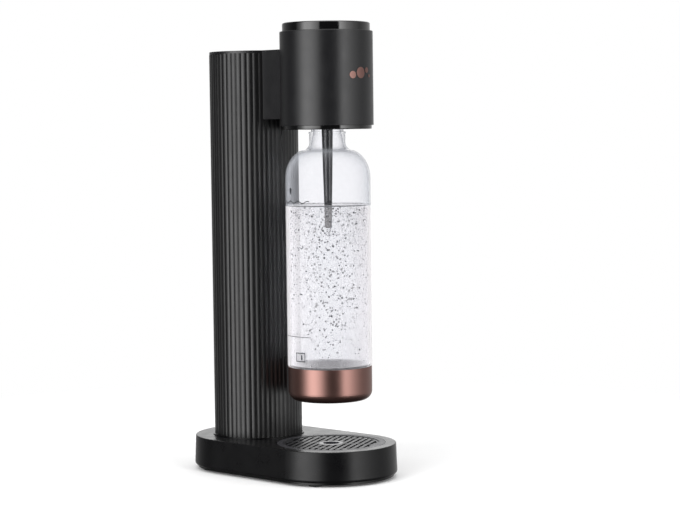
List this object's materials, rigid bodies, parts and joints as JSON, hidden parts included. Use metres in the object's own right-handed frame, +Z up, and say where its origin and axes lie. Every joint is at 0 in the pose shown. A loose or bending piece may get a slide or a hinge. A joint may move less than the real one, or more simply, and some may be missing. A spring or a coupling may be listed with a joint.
{
  "type": "soda carbonator",
  "caption": "Free-standing soda carbonator with a reeded gas column, a round press-button head, a hanging bottle and a drip tray.",
  "frame": {"origin": "on the table, at the centre of the base footprint, midway between the head axis and the column axis", "axes": "+Z up, the front (head and bottle side) faces -Y, +X is sideways"},
  "size_m": [0.126, 0.225, 0.431],
  "materials": {
    "matte_black": "fine matte moulded black",
    "reeded_black": "satin moulded black with rounded reeds",
    "gloss_black": "polished black",
    "grille_plastic": "satin dark grey moulding",
    "inner_plastic": "plain dark structural moulding",
    "copper": "satin rose copper",
    "pet_clear": "clear polished bottle plastic",
    "rubber_black": "soft black rubber",
    "seal_grey": "soft grey silicone",
    "nozzle_black": "smooth black food-safe plastic",
    "steel": "plain bright steel",
    "dark_steel": "blackened steel",
    "brass": "turned brass",
    "aluminium": "fine brushed aluminium",
    "sleeve_film": "dark shrink film with light wavy lines",
    "hose_nylon": "milky nylon pressure tube"
  },
  "bodies": {
    "frame": {"base_housing": "matte_black", "base_plate": "inner_plastic", "base_screws": "steel", "rubber_feet": "rubber_black", "chassis": "inner_plastic", "chassis_screws": "steel", "column_front_shell": "reeded_black", "shell_screws": "steel", "top_cap": "matte_black", "top_cap_screws": "dark_steel", "arm_housing": "matte_black", "arm_screws": "steel", "head_bracket": "steel", "bracket_screws": "steel", "head_shell": "matte_black", "head_lower_ring": "gloss_black", "head_badge": "copper", "head_deck": "inner_plastic", "head_deck_screws": "steel", "button_spring": "steel", "lever_pin": "steel", "valve_block": "brass", "valve_block_screws": "steel", "plunger_seal": "rubber_black", "cylinder_washer": "rubber_black", "cylinder_cradles": "inner_plastic", "cylinder_pad": "rubber_black", "gas_hose": "hose_nylon", "hose_fittings": "brass", "hose_clamps": "steel", "manifold": "aluminium", "manifold_screws": "steel", "bottle_socket": "inner_plastic", "bottle_seal": "seal_grey", "nozzle": "nozzle_black", "relief_body": "brass", "relief_spring": "steel", "relief_cap": "brass", "burst_plug": "brass"},
    "button": {"button_cap": "gloss_black", "button_stem": "steel", "stem_stud": "steel"},
    "lever": {"actuating_lever": "steel"},
    "plunger": {"plunger": "steel"},
    "cylinder": {"co2_cylinder": "aluminium", "cylinder_valve": "brass", "cylinder_sleeve": "sleeve_film"},
    "valve_pin": {"valve_pin": "steel"},
    "relief_poppet": {"relief_poppet": "rubber_black"},
    "rear_cover": {"rear_cover": "reeded_black"},
    "bottle": {"bottle_vessel": "pet_clear", "bottle_cup": "copper"},
    "tray": {"drip_tray": "matte_black"},
    "grille": {"drip_grille": "grille_plastic"}
  },
  "joints": [
    {"name": "button_press", "type": "slide", "parent": "frame", "child": "button", "axis": [0, 0, -1], "range_m": [0, 0.006], "stiffness_N_per_m": 800, "springref_m": -0.005, "deforming": ["button_spring"]},
    {"name": "lever_pivot", "type": "hinge", "parent": "frame", "child": "lever", "pos_m": [0, 0.0685, 0.395], "axis": [1, 0, 0], "range_deg": [0, 2.93]},
    {"name": "plunger_slide", "type": "slide", "parent": "frame", "child": "plunger", "axis": [0, 0, -1], "range_m": [0, 0.00098]},
    {"name": "cylinder_lower", "type": "slide", "parent": "frame", "child": "cylinder", "axis": [0, 0, -1], "range_m": [0, 0.0133]},
    {"name": "valve_pin_press", "type": "slide", "parent": "cylinder", "child": "valve_pin", "axis": [0, 0, -1], "range_m": [0, 0.00098]},
    {"name": "relief_lift", "type": "slide", "parent": "frame", "child": "relief_poppet", "axis": [0, 0, 1], "range_m": [0, 0.001], "stiffness_N_per_m": 500, "springref_m": -0.002, "deforming": ["relief_spring"]},
    {"name": "rear_cover_pull", "type": "slide", "parent": "frame", "child": "rear_cover", "axis": [0, 1, 0], "range_m": [0, 0.08]},
    {"name": "bottle_lower", "type": "slide", "parent": "frame", "child": "bottle", "axis": [0, 0, -1], "range_m": [0, 0.022]},
    {"name": "tray_lift", "type": "slide", "parent": "frame", "child": "tray", "axis": [0, 0, 1], "range_m": [0, 0.012]},
    {"name": "grille_lift", "type": "slide", "parent": "tray", "child": "grille", "axis": [0, 0, 1], "range_m": [0, 0.006]}
  ],
  "couplings": [
    {"joint": "lever_pivot", "follows": "button_press", "rad_per_m": 8.4746},
    {"joint": "plunger_slide", "follows": "button_press", "ratio": 0.16102},
    {"joint": "valve_pin_press", "follows": "button_press", "ratio": 0.16102}
  ]
}
